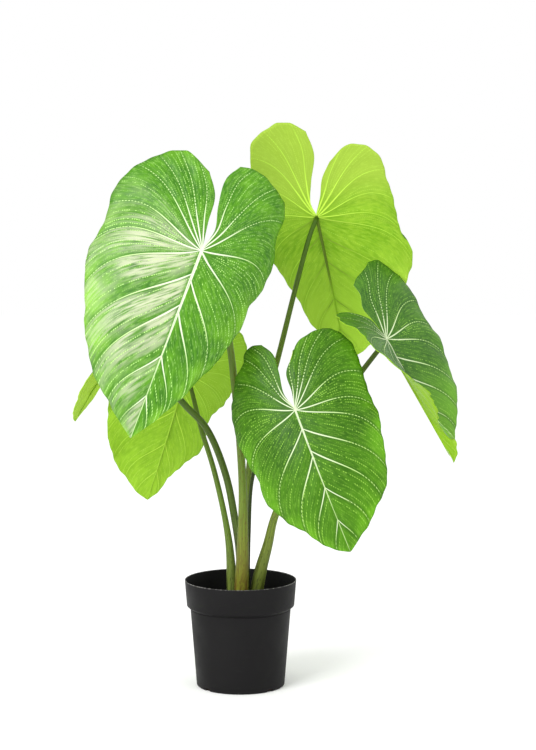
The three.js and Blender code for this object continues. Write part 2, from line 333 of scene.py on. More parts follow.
class Shading:
    """A material that is built up from nodes."""

    def __init__(self, name: str) -> None:
        """Starts a material with its main shader.

        Args:
            name: The material's name.
        """
        self.material = bpy.data.materials.new(name)
        self.material.use_nodes = True
        self.tree = self.material.node_tree
        self.shader = self.tree.nodes["Principled BSDF"]

    def put(self, socket: NodeSocket, value: Value | Colour | tuple) -> None:
        """Links a socket, or sets its own value where the value is a constant.

        Args:
            socket: The socket that takes the value.
            value: A signal, a number, a vector or a colour's hexadecimal digits.
        """
        if isinstance(value, Signal):
            self.tree.links.new(value.socket, socket)
        else:
            socket.default_value = linear(value) if isinstance(value, str) else value

    def node(self, kind: str, inputs: dict, output: int = 0, **settings: object) -> Signal:
        """Adds a node.

        Args:
            kind: The node's type, without its common prefix.
            inputs: What each input takes, by its name or number.
            output: The number of the output that is wanted.
            settings: The node's own settings.

        Returns:
            The output.
        """
        made = self.tree.nodes.new("ShaderNode" + kind)
        for name, setting in settings.items():
            setattr(made, name, setting)
        for key, value in inputs.items():
            self.put(made.inputs[key], value)
        return Signal(self, made.outputs[output])

    def math(self, operation: str, *values: Value) -> Signal:
        """Adds one step of arithmetic, by its name in Blender."""
        return self.node("Math", dict(enumerate(values)), operation=operation)

    def blend(self, share: Value, first: Colour, second: Colour, kind: str = "MIX") -> Signal:
        """Mixes two colours, with a share of the second."""
        inputs = {0: share, 6: first, 7: second}
        return self.node("Mix", inputs, output=2, data_type="RGBA", blend_type=kind)

    def join(self, x: Value, y: Value, z: Value = 0.0) -> Signal:
        """Joins three numbers to a vector."""
        return self.node("CombineXYZ", {0: x, 1: y, 2: z})

    def split(self, vector: Signal) -> list[Signal]:
        """Splits a vector into its three numbers."""
        self.node("SeparateXYZ", {0: vector})
        return [Signal(self, number) for number in self.tree.nodes[-1].outputs]

    def uv(self, name: str) -> list[Signal]:
        """Reads the two numbers of one of the piece's UV maps."""
        return self.split(self.node("UVMap", {}, uv_map=name))[:2]

    def place(self, scale: Triple = (1, 1, 1)) -> Signal:
        """Reads the place on the object, in metres times a scale."""
        here = self.node("TexCoord", {}, output=3)
        return self.node("Mapping", {"Vector": here, "Scale": scale})

    def cloud(self, vector: Signal, scale: float = 1.0, detail: float = 2.0,
              roughness: float = 0.5) -> Signal:
        """Adds soft noise of about 0.5, with so many grains a unit and so many finer layers."""
        inputs = {"Vector": vector, "Scale": scale, "Detail": detail, "Roughness": roughness}
        return self.node("TexNoise", inputs)

    def chance(self, x: Value, y: Value = 0.0) -> Signal:
        """Gives an even random number from 0 to 1 for each pair of numbers."""
        return self.node("TexWhiteNoise", {"Vector": self.join(x, y)}, noise_dimensions="2D")

    def finish(self, colour: Colour, roughness: Value, height: Signal | None = None,
               depth: float = 1.0, shine: float = 0.25) -> Material:
        """Connects the shader.

        Args:
            colour: The base colour.
            roughness: The roughness.
            height: The relief, or nothing for a plain surface.
            depth: How many millimetres high a relief of 1 is.
            shine: How much it mirrors.

        Returns:
            The finished material.
        """
        self.put(self.shader.inputs["Base Color"], colour)
        self.put(self.shader.inputs["Roughness"], roughness)
        self.put(self.shader.inputs["Specular IOR Level"], shine)
        if height is not None:
            relief = self.node("Bump", {"Height": height, "Strength": 1.0, "Distance": depth * MM})
            self.put(self.shader.inputs["Normal"], relief)
        return self.material


class LeafShading(Shading):
    """A leaf's material, with what its blade's UV maps say at each place.

    These are the main and fine veins passed, how far out the place is as a share and in millimetres,
    where it lies across the blade and along it, how far apart the veins are, which line it is on, and
    how strong the painted sheen is, a pale painted reflection of the light.
    """

    def __init__(self, name: str) -> None:
        """Starts the material and reads the maps.

        Args:
            name: The material's name.
        """
        super().__init__(name)
        self.phase, self.fine = self.uv("Vein")
        self.reach, self.run = self.uv("Reach")
        self.across, self.along = self.uv("Flat")
        self.pitch, self.fine_pitch = self.uv("Pitch")
        self.line, self.painted_sheen = self.uv("Part")
        self.vein = round(self.phase)
        self.off_vein = abs(self.phase - self.vein) * self.pitch

    def streaks(self, passed: Signal, each: float, length: float, detail: float) -> Signal:
        """Adds noise drawn out along the veins, with so many streaks for each vein passed."""
        return self.cloud(self.join(passed * each, self.run / length), detail=detail)

    def dots(self, period: float, luck: Signal) -> tuple[Signal, Signal]:
        """Breaks a line up into dots.

        Args:
            period: How many millimetres apart the dots are.
            luck: The line's own random number, which shifts its dots.

        Returns:
            A number that is 1 on the dots and 0 between them, and the dot's number on its line.
        """
        most_shift = 9.0
        beat = self.run / period + luck * most_shift
        off_middle = abs(self.math("FRACT", beat) - 0.5)
        return off_middle.rise(0.36, 0.2), self.math("FLOOR", beat)


@dataclass(frozen=True)
class LeafFinish:
    """One face of a blade, with its veins drawn along the blade's own lines.

    Widths and the spacing of dots are in millimetres. The other numbers are strengths, or shares of the
    way from the joint to the margin or from the notch to the tip.
    """

    name: str
    deep: str
    body: str
    bright: str
    near: str
    vein: str
    rib: str
    rib_end: str
    fine: str
    vein_half: Flat
    rib_half: Flat
    fine_share: float
    gap: float
    gloss: float
    relief: float
    lobe_share: float
    outer_share: float
    whole: Flat = (0.3, 0.6)
    # The colour and share of the painted sheen, a pale painted reflection of the light
    painted_sheen: str = "b8bf9e"
    sheen_share: float = 1.0
    shadow: float = 0.5
    lobe_fine: float = 0.6
    speckle: float = 0.16
    margin_glow: float = 1.0
    lobe_glow: float = 0.0
    lobe_from: Flat = (0.05, -0.3)
    tip_glow: float = 0.0
    tip: str = "a8d040"
    # How much painted shade the main veins take near their roots on the lower half
    root_shade_share: float = 0.0
    rib_fade: Flat = (0.2, 0.8)
    shine: float = 0.2
    vein_dots: float = 4.4
    fine_dots: float = 3.0
    depth: float = 0.3

    def paint(self) -> Material:
        """Builds the material.

        Returns:
            The material, which reads the blade's UV maps.
        """
        s = LeafShading(self.name)
        main = self._main_veins(s)
        rib = self._midrib(s)
        thin = self._fine_veins(s)
        streak = s.streaks(s.fine, 1.3, 13.0, detail=3.0).rise(0.34, 0.66)
        tone = streak * 0.6 + s.cloud(s.place(), 22.0).rise(0.35, 0.65) * 0.4
        # The pale streaks laid here are painted sheen, a painted reflection of the light
        colour = s.blend(self._sheen_mask(s), self._ground(s, tone), self.painted_sheen)
        colour = s.blend(thin, colour, self.fine)
        colour = s.blend(main, colour, self._vein_colour(s))
        colour = s.blend(rib, colour, s.blend(s.along.rise(*self.rib_fade), self.rib, self.rib_end))

        raised = s.math("MAXIMUM", main * s.reach.rise(0.8, 0.3), rib)
        height = raised * self.relief + thin * (self.relief * 0.4)
        height = height + streak * 0.12 + s.cloud(s.place(), 900.0) * 0.1
        rough = tone.rise(0.0, 1.0, self.gloss - 0.05, self.gloss + 0.08)
        return s.finish(colour, rough, height, self.depth, self.shine)

    def _main_veins(self, s: LeafShading) -> Signal:
        """Draws the main veins, which slim and break up into dots on their way to the margin.

        Args:
            s: The material that is being built.

        Returns:
            A number that is 1 on a vein.
        """
        width = s.line.rise(0.27, 0.36, self.lobe_share, self.outer_share)
        width = width * s.line.rise(0.8, 0.97, 1.0, 0.5) * s.reach.rise(0.0, 0.12, 0.6, 1.0)
        half = s.reach.rise(0.1, 0.8, *self.vein_half) * width
        luck = s.chance(s.vein, 7.0)
        whole = s.line.rise(0.27, 0.4, *self.whole) + luck * 0.25
        dotted = s.reach.rise(whole, whole + 0.12)
        gone = dotted * (1.0 - s.dots(self.vein_dots, luck)[0])
        return s.off_vein.rise(half + 0.4, half - 0.3) * ((1.0 - gone) * s.reach.rise(1.0, 0.9))

    def _midrib(self, s: LeafShading) -> Signal:
        """Draws the midrib from the joint to the tip, as a number that is 1 on it."""
        half = s.along.rise(0.0, 0.95, *self.rib_half)
        return abs(s.across).rise(half + 0.5, half - 0.4) * s.along.rise(-0.02, 0.0)

    def _fine_veins(self, s: LeafShading) -> Signal:
        """Draws the fine veins as rows of dots, some of which are left out.

        Args:
            s: The material that is being built.

        Returns:
            A number that is 1 on a clear dot, and less on a faint one.
        """
        line = round(s.fine)
        off_line = abs(s.fine - line) * s.fine_pitch
        luck = s.chance(line, 3.0)
        dot, number = s.dots(self.fine_dots, luck)
        spare = s.cloud(s.place(), 70.0).rise(0.38, 0.62, self.gap + 0.25, self.gap)
        kept = s.chance(line, number).rise(spare - 0.1, spare + 0.1)
        thin = off_line.rise(0.75, 0.2) * (dot * kept) * luck.rise(0.25, 0.95, 0.25, 1.0)
        thin = thin * s.fine_pitch.rise(0.9, 2.2) * s.line.rise(0.2, 0.42, self.lobe_fine, 1.0)
        return thin * self.fine_share

    def _ground(self, s: LeafShading, tone: Signal) -> Signal:
        """Colours the sheet between the veins.

        Args:
            s: The material that is being built.
            tone: How light the place is.

        Returns:
            The colour: brighter at the margin as its own lighter tint, brighter at the lobes and the tip as
                painted light, and darker beside the veins as painted shade.
        """
        colour = s.blend(tone, self.deep, self.body)
        tint_and_painted_light = s.reach.rise(0.55, 1.0) * s.cloud(s.place(), 30.0).rise(0.3, 0.7)
        tint_and_painted_light = tint_and_painted_light * s.along.rise(-0.1, 0.4, 0.4 * self.margin_glow, self.margin_glow)
        # The lobes are brightened as painted light, standing in for light where a blade lies in shade
        tint_and_painted_light = s.math("MAXIMUM", tint_and_painted_light, s.along.rise(*self.lobe_from, 0.0, self.lobe_glow))
        colour = s.blend(tint_and_painted_light, colour, self.bright)
        # The tip is brightened as painted light too
        colour = s.blend(s.along.rise(0.15, 0.8, 0.0, self.tip_glow), colour, self.tip)
        # Painted shade beside the main veins, darkest next to them and left out of the brightened lobes
        beside = s.off_vein.rise(4.5, 1.0) * self.shadow
        beside = beside * s.along.rise(-0.08, 0.08, 1.0 - self.lobe_glow, 1.0)
        colour = s.blend(beside, colour, self.deep)
        speck = s.streaks(s.fine, 3.4, 9.0, detail=2.0).rise(0.5, 0.68)
        return s.blend(speck * self.speckle, colour, self.fine)

    def _sheen_mask(self, s: LeafShading) -> Signal:
        """Lays the painted sheen, a pale painted reflection of the light, in streaks and fine hairs,
        strongest just past each vein, on the side of each quilted panel that faces the light.

        Args:
            s: The material that is being built.

        Returns:
            How much of the painted sheen shows.
        """
        sheen = s.streaks(s.phase, 1.1, 75.0, detail=1.0).rise(0.24, 0.46)
        sheen = sheen * s.streaks(s.fine, 1.8, 36.0, detail=4.0).rise(0.34, 0.6, 0.08, 1.0)
        sheen = sheen * s.math("FRACT", s.phase).rise(0.95, 0.45, 0.2, 1.0)
        return sheen * (s.painted_sheen * self.sheen_share * s.off_vein.rise(0.5, 2.5, 0.4, 1.0))

    def _vein_colour(self, s: LeafShading) -> Signal:
        """Colours the main veins, from their roots to the margin, with the midrib's dark colour near their
        roots on the lower half as painted shade.
        """
        # Painted shade: near the midrib the main veins of the lower half take the midrib's dark colour
        root = s.reach.rise(0.6, 0.2) * s.line.rise(0.5, 0.62, 0.0, self.root_shade_share)
        return s.blend(root, s.blend(s.reach.rise(0.15, 0.6), self.near, self.vein), self.rib)


class BarShading(Shading):
    """The material of a bar, with the coordinates of its skin."""

    def skin(self) -> list[Signal]:
        """Reads the direction round the bar, as two numbers, and the millimetres along it."""
        return self.split(self.node("Attribute", {}, output=1, attribute_name="Skin"))

    def marks(self, across: float, length: float, detail: float, roughness: float = 0.5) -> Signal:
        """Adds noise drawn out along the bar, with so many marks across its radius."""
        x, y, run = self.skin()
        return self.cloud(self.join(x * across, y * across, run / length), 1.0, detail, roughness)


@dataclass(frozen=True)
class StalkFinish:
    """A fleshy stalk: streaked green skin, yellower towards its foot and darker towards its blade."""

    name: str
    foot: str
    skin: str
    head: str
    mottle: str = "2c3312"
    mottled: float = 60.0
    ticks: float = 0.61
    head_from: Flat = (0.55, 0.95)

    def paint(self, length: float) -> Material:
        """Builds the material.

        Args:
            length: The bar's length in millimetres.

        Returns:
            The material, which reads the bar's Skin attribute.
        """
        s = BarShading(self.name)
        run = s.skin()[2]
        colour = s.blend(run.rise(0.05 * length, 0.4 * length), self.foot, self.skin)
        start, end = self.head_from
        colour = s.blend(run.rise(start * length, end * length), colour, self.head)
        streak = s.marks(3.0, 45.0, 4.0, 0.6)
        tone = streak.rise(0.32, 0.68, 0.8, 1.25)
        colour = s.blend(1.0, colour, s.join(tone, tone, tone), "MULTIPLY")
        tick = s.marks(5.0, 7.0, 1.0).rise(self.ticks, self.ticks + 0.05)
        colour = s.blend(tick * 0.6, colour, self.mottle)
        low = run.rise(BURIED + self.mottled, 20.0)
        brown = s.marks(1.6, 16.0, 3.0, 0.65).rise(0.40, 0.62) * low
        colour = s.blend(brown, colour, self.mottle)
        height = streak + s.cloud(s.place(), 700.0) * 0.3
        return s.finish(colour, streak.rise(0.3, 0.7, 0.4, 0.52), height, depth=0.3)


@dataclass(frozen=True)
class PotFinish:
    """Matte black moulded plastic with a fine grain and a few scuffs, and a painted highlight along the rim's
    edge, in dots and strongest at the sides.
    """

    name: str = "pot plastic"
    plastic: str = "0e0d0e"
    # The colour of the scuffs, and of the painted highlight on the rim's top band
    worn_and_highlit: str = "252424"
    # The colour of the painted highlight on the lip's edge
    lip_highlight: str = "8e8c8a"
    rim_top: float = 144.0
    lip_sides: Flat = (30, 60)
    # How the painted highlight on the lip is broken into dots
    scuffs: Triple = (60, 60, 260)
    glint_dots: Triple = (420, 420, 0)
    grain: float = 1500.0
    depth: float = 0.12
    shine: float = 0.16

    def paint(self) -> Material:
        """Builds the material.

        Returns:
            The material, which reads the pot's own place.
        """
        s = Shading(self.name)
        x, _, z = s.split(s.place())
        below_rim = z / MM - self.rim_top
        cloudy = s.cloud(s.place(), 18.0, 4.0, 0.6)
        scuff = s.cloud(s.place(self.scuffs), 1.0, 4.0, 0.65)
        # The scuffs are wear; the rim's top band is lightened as a painted highlight
        wear_and_highlight = scuff.rise(0.58, 0.75) * 0.18 + below_rim.rise(-1.6, -0.4) * 0.8
        colour = s.blend(wear_and_highlight * cloudy.rise(0.3, 0.7, 0.5, 1.0), self.plastic, self.worn_and_highlit)
        # A painted highlight on the lip's edge, broken into dots and stronger towards the left and right
        # sides
        painted_glint = s.cloud(s.place(self.glint_dots), 1.0, 1.0).rise(0.46, 0.62, 0.1, 1.0)
        painted_glint = painted_glint * abs(x / MM).rise(*self.lip_sides, 0.4, 1.0)
        colour = s.blend(painted_glint * below_rim.rise(-1.2, -0.3), colour, self.lip_highlight)
        height = s.cloud(s.place(), self.grain) + cloudy * 0.5
        return s.finish(colour, cloudy.rise(0.3, 0.7, 0.5, 0.64), height, self.depth, self.shine)


@dataclass(frozen=True)
class SoilFinish:
    """Dark, crumbly potting compost."""

    name: str = "compost"
    dark: str = "1f150d"
    light: str = "4a3421"
    grains: float = 420.0
    patches: float = 60.0

    def paint(self) -> Material:
        """Builds the material.

        Returns:
            The material.
        """
        s = Shading(self.name)
        crumb = s.cloud(s.place(), self.grains, 4.0, 0.65)
        tone = crumb * 0.7 + s.cloud(s.place(), self.patches) * 0.3
        colour = s.blend(tone.rise(0.4, 0.65), self.dark, self.light)
        return s.finish(colour, crumb.rise(0.3, 0.7, 0.82, 0.98), crumb)


# The leaves

@dataclass(frozen=True)
class Half:
    """One half of a blade, with its outline laid flat: distances across from the midrib and along it."""

    lobe: float
    lift: float
    fold: Triple
    arch: Triple
    width: float
    inner: tuple[Flat, ...]
    outer: tuple[Flat, ...]
    veins: tuple[float, ...] = (0.05, 0.14, 0.24, 0.35, 0.47, 0.6, 0.7, 0.8, 0.885, 0.95)
    rib_veins: tuple[float, ...] = (0.71, 0.79, 0.88, 0.94)
    # How strong the painted sheen is, a pale painted reflection of the light on the upper face
    painted_sheen: float = 0.0
    ruffle: float = 0.8


@dataclass(frozen=True)
class Blade:
    """A heart-shaped blade: a thin curved sheet, quilted between its veins."""

    name: str
    joint: Triple
    swing: float
    lean: float
    turn: float
    length: float
    droop: float
    left: Half
    right: Half
    wave: float = 1.2
    thickness: float = 0.8
    notch: float = 4.0
    lines: int = 168
    steps: int = 40
    ease: float = 1.3
    rib_radii: Flat = (2.1, 0.3)
    rib_span: Flat = (0.004, 0.94)
    rib_rings: int = 60
    rib_sides: int = 14

    def axes(self) -> tuple[Array, Array, Array]:
        """Gives the blade's own directions.

        Returns:
            Along the midrib to the tip, out of the upper face, and to the right half.
        """
        swing, lean, turn = (math.radians(a) for a in (self.swing, self.lean, self.turn))
        along = Vector((
            math.sin(swing) * math.cos(lean), -math.sin(lean), -math.cos(swing) * math.cos(lean),
        ))
        facing = Vector((0, -1, 0))
        facing = (facing - along * facing.dot(along)).normalized()
        aside = facing.cross(along)
        up = facing * math.cos(turn) + aside * math.sin(turn)
        right = aside * math.cos(turn) - facing * math.sin(turn)
        return np.array(along), np.array(up), np.array(right)

    def placed(self, half: Half, side: int, flat: Array) -> Array:
        """Bends a half into its place.

        Args:
            half: The half.
            side: -1 for the left half and 1 for the right one.
            flat: Places on the flat half.

        Returns:
            The places in space.
        """
        along, up, right = self.axes()
        across, run = np.moveaxis(flat, -1, 0)
        behind = run < 0
        droop = math.radians(self.droop or STRAIGHT) / self.length
        bend = np.where(behind, math.radians(half.lift) / half.lobe, droop)
        angle = bend * run
        tilted = np.sin(angle)[..., None] * along + np.cos(angle)[..., None] * up
        reach = clamp01(np.where(behind, -run / half.lobe, run / self.length)) ** self.ease
        fold, arch = (
            np.radians(a[1] + (np.where(behind, a[0], a[2]) - a[1]) * reach) for a in (half.fold, half.arch)
        )
        curl = arch / half.width
        curl = np.where(np.abs(curl) < STRAIGHT, STRAIGHT, curl)
        slope = fold - curl * across
        out = (np.sin(fold) - np.sin(slope)) / curl
        rise = (np.cos(slope) - np.cos(fold)) / curl
        return (
            np.array(self.joint) + (np.sin(angle) / bend)[..., None] * along
            - ((1 - np.cos(angle)) / bend)[..., None] * up
            + (side * out)[..., None] * right + rise[..., None] * tilted
        )

    def build(self, upper: Material, lower: Material, slot: Slot) -> None:
        """Builds the blade.

        Args:
            upper: The material of its upper face.
            lower: The material of its underside.
            slot: The record's slot, which is handed on.
        """
        sheet = bmesh.new()
        for name in HalfSheet.MAPS:
            sheet.loops.layers.uv.new(name)
        for side, half in ((-1, self.left), (1, self.right)):
            HalfSheet(self, half, side).add_to(sheet)
        bmesh.ops.remove_doubles(sheet, verts=sheet.verts, dist=0.02 * MM)
        blade = finished("blade_look_" + self.name, sheet, (upper, lower), slot, "blade_" + self.name)
        wall = blade.modifiers.new("Thickness", "SOLIDIFY")
        wall.thickness = self.thickness * MM
        wall.offset = 0.0
        wall.material_offset = 1
        wall.material_offset_rim = 1

    def build_rib(self, skin: StalkFinish, slot: Slot) -> None:
        """Builds the midrib, which stands out of the underside.

        Args:
            skin: Its finish.
            slot: The record's slot, which is handed on.
        """
        share = np.linspace(*self.rib_span, self.rib_rings)
        flat = np.stack([0 * share, share * self.length], axis=-1)
        up = self.axes()[1]
        radii = np.interp(share, (0, 1), self.rib_radii)
        sunk = 0.9 * radii + 0.1 + HalfSheet.CREASE * smooth(flat[..., 1], *HalfSheet.CREASE_STARTS)
        centres = (self.placed(self.left, -1, flat) - up * sunk[..., None]) * MM
        bar = drawn_bar(centres, radii * MM, self.rib_sides)
        finished("midrib_" + self.name, bar, (skin.paint(self.length),), slot)


class HalfSheet:
    """One half of a blade as a grid of lines, each from the joint or the midrib out to the margin.

    The arrays hold a number or a place for each point of the grid: which line it is on, from 0 at the
    notch to 1 at the tip, how far out it is, from 0 at the joint or the midrib to 1 at the margin, where
    it lies when the half is flat, how many main and fine veins are passed on the way from the notch, and
    how far apart the main ones are.
    """

    MAPS = ("Vein", "Reach", "Flat", "Pitch", "Part")
    # How much the grid crowds at the joint and the midrib, where the fan from the joint ends, and how
    # the lines beyond it are spread along the midrib
    CROWDING = 1.4
    FAN = 0.6
    SPREAD = 1.6
    # How far the veins bow, which lines follow the notch, and where the ruffle sets in from both ends
    BOW = 0.13
    NOTCH_SHARE = 0.3
    RUFFLE_STARTS = (0.02, 0.1)
    FINE_VEINS = 60
    # The crease along the midrib: how deep and how wide it is, and where along the blade it sets in
    CREASE = 0.5
    CREASE_HALF = 2.4
    CREASE_STARTS = (12, 40)

    def __init__(self, blade: Blade, half: Half, side: int) -> None:
        """Lays the grid out flat and counts the veins.

        Args:
            blade: The blade.
            half: The half.
            side: -1 for the left half and 1 for the right one.
        """
        self.blade = blade
        self.half = half
        self.side = side
        lines = np.linspace(0, 1, blade.lines + 1)
        steps = np.linspace(0, 1, blade.steps + 1) ** self.CROWDING
        self.line, self.reach = np.meshgrid(lines, steps, indexing="ij")
        self.flat = self._laid_flat()
        self.main, self.fine = self._veins_passed()
        self.pitch = self._pitch(self.main)

    def _laid_flat(self) -> Array:
        """Lays the grid out flat, its lines running as the veins do.

        Returns:
            The places, across from the midrib and along it.
        """
        half = self.half
        line = self.line
        reach = self.reach
        inner = SmoothLine([(0, -self.blade.notch), *half.inner])
        outer = SmoothLine([half.inner[-1], *half.outer, (0, self.blade.length)])
        beyond_fan = clamp01((line - self.FAN) / (1 - self.FAN))
        start = np.stack([0 * line, self.blade.length * beyond_fan ** self.SPREAD], axis=-1)
        chord = outer.at(line) - start
        aside = np.stack([chord[..., 1], -chord[..., 0]], axis=-1)
        bow = self.BOW * smooth(line, 0.05, 0.35) * (1 - 0.3 * smooth(line, 0.55, 0.7))
        peak = 4 / 27
        swell = bow * smooth(1 - line, 0, 0.08) / peak * reach ** 2 * (1 - reach)
        near_notch = clamp01(1 - line / self.NOTCH_SHARE) ** 2 * (reach > 0)
        margin = inner.at(reach) - inner.at(1.0) * reach[..., None]
        # The half's own sizes shift the two waves, so that no two margins are ruffled alike
        wavy = np.sin(50 * line + half.lobe) + 0.6 * np.sin(127 * line + half.width)
        inside = smooth(line, *self.RUFFLE_STARTS) * smooth(1 - line, *self.RUFFLE_STARTS)
        push = half.ruffle * wavy * reach ** 3 * inside
        outward = chord / np.maximum(np.linalg.norm(chord, axis=-1, keepdims=True), 1.0)
        return (
            start + chord * reach[..., None] + aside * swell[..., None] + margin * near_notch[..., None]
            + outward * push[..., None]
        )

    def _veins_passed(self) -> tuple[Array, Array]:
        """Counts the veins passed on the way from the notch to each line.

        Returns:
            The main veins passed, whole on a vein, and the fine ones passed.
        """
        veins = self.half.veins
        rib_veins = self.half.rib_veins
        at_margin = (0, *veins, 1)
        at_rib = (0, *veins[:len(veins) - len(rib_veins)], *rib_veins, 1)
        main = np.array([-0.6, *range(len(veins)), len(veins) - 0.4])
        between = [max(4, round(self.FINE_VEINS * gap)) for gap in np.diff(veins)]
        fine = np.array([-4, 0, *np.cumsum(between), sum(between) + 4])
        return tuple(
            np.interp(self.line, at_margin, count) * self.reach
            + np.interp(self.line, at_rib, count) * (1 - self.reach)
            for count in (main, fine)
        )

    def _pitch(self, count: Array) -> Array:
        """Measures how far apart the veins are.

        Args:
            count: The veins passed at each place.

        Returns:
            The distance between two veins at each place.
        """
        along_i, along_j = np.gradient(self.flat, axis=(0, 1))
        count_i, count_j = np.gradient(count, axis=(0, 1))
        area = np.abs(along_i[..., 0] * along_j[..., 1] - along_i[..., 1] * along_j[..., 0])
        slope = np.linalg.norm(along_j * count_i[..., None] - along_i * count_j[..., None], axis=2)
        return area / np.maximum(slope, STRAIGHT)

    def _sheen_strength(self) -> Array:
        """Gives the strength of the painted sheen, a painted reflection of the light, which leaves the part
        beside the notch free.

        Returns:
            Its strength at each place.
        """
        free = smooth(self.line, 0.24, 0.33) * (1 - 0.55 * smooth(0.45 - self.line, 0.0, 0.1))
        free = free * (1 - 0.35 * smooth(self.line, 0.76, 0.9))
        fading = smooth(self.reach, 0.01, 0.08) * (1 - 0.6 * smooth(self.reach, 0.5, 0.9))
        return self.half.painted_sheen * free * fading

    def _relief(self) -> Array:
        """Works out how far the sheet stands off its plain shape: quilted, creased and wavy.

        Returns:
            The distance above the plain shape in millimetres.
        """
        whole_turn = 2 * math.pi
        puff = np.minimum(0.05 * self.pitch, 1.1) * smooth(1 - self.reach, 0, 0.15)
        quilt = 0.5 * (1 - np.cos(whole_turn * self.main)) * puff
        across, along = np.moveaxis(self.flat, -1, 0)
        crease = self.CREASE * np.exp(-(across / self.CREASE_HALF) ** 2) * smooth(along, *self.CREASE_STARTS)
        # The side and the name shift the waves, so that no two halves wave alike
        shift = 0.2 * self.side + 0.13 * len(self.blade.name)
        waves = np.sin(whole_turn * (4.5 * self.line + shift))
        waves = waves + 0.5 * np.sin(whole_turn * (11 * self.line + 0.31 * self.side))
        margin = self.blade.wave * waves * smooth(self.reach, 0.6, 1.0) * smooth(1 - self.line, 0, 0.12)
        off_joint = smooth(np.linalg.norm(self.flat, axis=2), 3, 14)
        return (quilt - crease) * off_joint + margin

    def _places(self) -> Array:
        """Bends the grid into its place, adds its relief and keeps it within the plain blade's box.

        Returns:
            The places in metres.
        """
        places = self.blade.placed(self.half, self.side, self.flat)
        normal = self.side * np.cross(np.gradient(places, axis=0), np.gradient(places, axis=1))
        size = np.linalg.norm(normal, axis=2, keepdims=True)
        normal = np.where(size > STRAIGHT, normal / np.maximum(size, STRAIGHT), self.blade.axes()[1])
        places = (places + normal * self._relief()[..., None]) * MM
        low, high = (np.array(corner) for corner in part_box("blade_" + self.blade.name))
        inset = self.blade.thickness / 2 * MM
        return np.clip(places, low + inset, high - inset)

    def _maps(self) -> list[Array]:
        """Works out what the blade's finish reads.

        Returns:
            Two numbers a place for each of the UV maps.
        """
        across, along = np.moveaxis(self.flat, -1, 0)
        pairs = (
            (self.main, self.fine),
            (self.reach, walked(self.flat)),
            (self.side * across, along / self.blade.length),
            (self.pitch, self._pitch(self.fine)),
            (self.line, self._sheen_strength()),
        )
        return [np.stack(pair, axis=-1) for pair in pairs]

    def add_to(self, sheet: BMesh) -> None:
        """Adds the half to its blade's sheet.

        Args:
            sheet: The sheet, which has the UV maps' layers.
        """
        lines = self.blade.lines
        steps = self.blade.steps
        made = bmesh.ops.create_grid(sheet, x_segments=lines, y_segments=steps, size=1.0)["verts"]
        cells = {
            vertex: (round((vertex.co.x + 1) / 2 * lines), round((vertex.co.y + 1) / 2 * steps))
            for vertex in made
        }
        faces = list({face for vertex in made for face in vertex.link_faces})
        corners = [corner for face in faces for corner in face.loops]
        for name, pairs in zip(self.MAPS, self._maps()):
            layer = sheet.loops.layers.uv[name]
            for corner in corners:
                corner[layer].uv = pairs[cells[corner.vert]]
        places = self._places()
        for vertex, cell in cells.items():
            vertex.co = places[cell]
        if self.side < 0:
            bmesh.ops.reverse_faces(sheet, faces=faces)


@dataclass(frozen=True)
class Stalk:
    """A leaf's stalk, from its foot in the soil up to the underside of its blade."""

    foot: Flat
    through: tuple[Triple, ...]
    radii: Triple
    sheath: float = 0.34
    seat: float = 1.5
    flare: float = 0.12
    flare_length: float = 9.0
    groove: float = 0.1
    cut_radius: float = 30.0
    sides: int = 32
    rings: int = 90

    def build(self, blade: Blade, skin: StalkFinish) -> None:
        """Builds the stalk, which slims over its sheath and ends level with its blade's underside.

        Args:
            blade: The blade that it carries.
            skin: Its finish.
        """
        ground = np.array((*self.foot, SOIL_TOP))
        rise = np.array(self.through[0]) - ground
        lead = ground - rise / np.linalg.norm(rise) * BURIED
        along, up, _ = blade.axes()
        seat = np.array(blade.joint) + along * self.seat - up * (blade.thickness / 2 + 0.1)
        course = SmoothLine([ground, *self.through, seat], lead)
        share = np.linspace(0, 1, self.rings)
        below = BURIED / course.length
        grown = clamp01((share - below) / (1 - below))
        foot, middle, top = self.radii
        radii = middle + (top - middle) * grown + (foot - middle) * (1 - smooth(grown, 0, self.sheath))
        radii = radii * (1 + self.flare * np.exp(-((1 - share) * course.length / self.flare_length) ** 2))
        bar = drawn_bar(course.at(share) * MM, radii * MM, self.sides, self.groove)
        heading = Vector(course.at(1.0) - course.at(0.985)).normalized()
        level = Vector(seat) * MM
        facing = Vector(up)
        for vertex in bar.verts:
            above = (vertex.co - level).dot(facing)
            if above > 0 and (vertex.co - level).length < self.cut_radius * MM:
                vertex.co -= heading * (above / heading.dot(facing))
        finished("stalk_look_" + blade.name, bar, (skin.paint(course.length),), Slot.STALK,
                 "stalk_" + blade.name)


# Tops and undersides of the leaves

TOP = LeafFinish(
    name="leaf top", deep="265006", body="3e6e0a", bright="64a414", near="c8d6b0", vein="a8ca76",
    rib="c4d2ac", rib_end="acca80", fine="94c64a", vein_half=(0.8, 0.4), rib_half=(1.25, 0.35),
    fine_share=0.85, gap=0.2, gloss=0.4, relief=-0.7, lobe_share=0.85, outer_share=1.0, whole=(0.15, 0.4),
    tip="5c9a12", tip_glow=0.25, shine=0.14, margin_glow=0.75,
)
UNDER = LeafFinish(
    name="leaf underside", deep="689a10", body="8ab428", bright="92b238", near="bce44c", vein="acd646",
    rib="546c16", rib_end="86ae20", fine="b0d450", vein_half=(0.95, 0.3), rib_half=(1.9, 0.4), fine_share=0.5,
    gap=0.02, gloss=0.5, relief=0.6, lobe_share=1.0, outer_share=0.6, whole=(0.7, 0.8), shadow=0.3,
    margin_glow=0.5, lobe_glow=1.0, tip_glow=0.9, root_shade_share=0.75, rib_fade=(0.3, 0.6), shine=0.15,
    lobe_fine=1.0, speckle=0.2, sheen_share=0.0,
)


def even(angle: float) -> Triple:
    """Gives the same angle at the lobe, the joint and the tip."""
    return (angle, angle, angle)


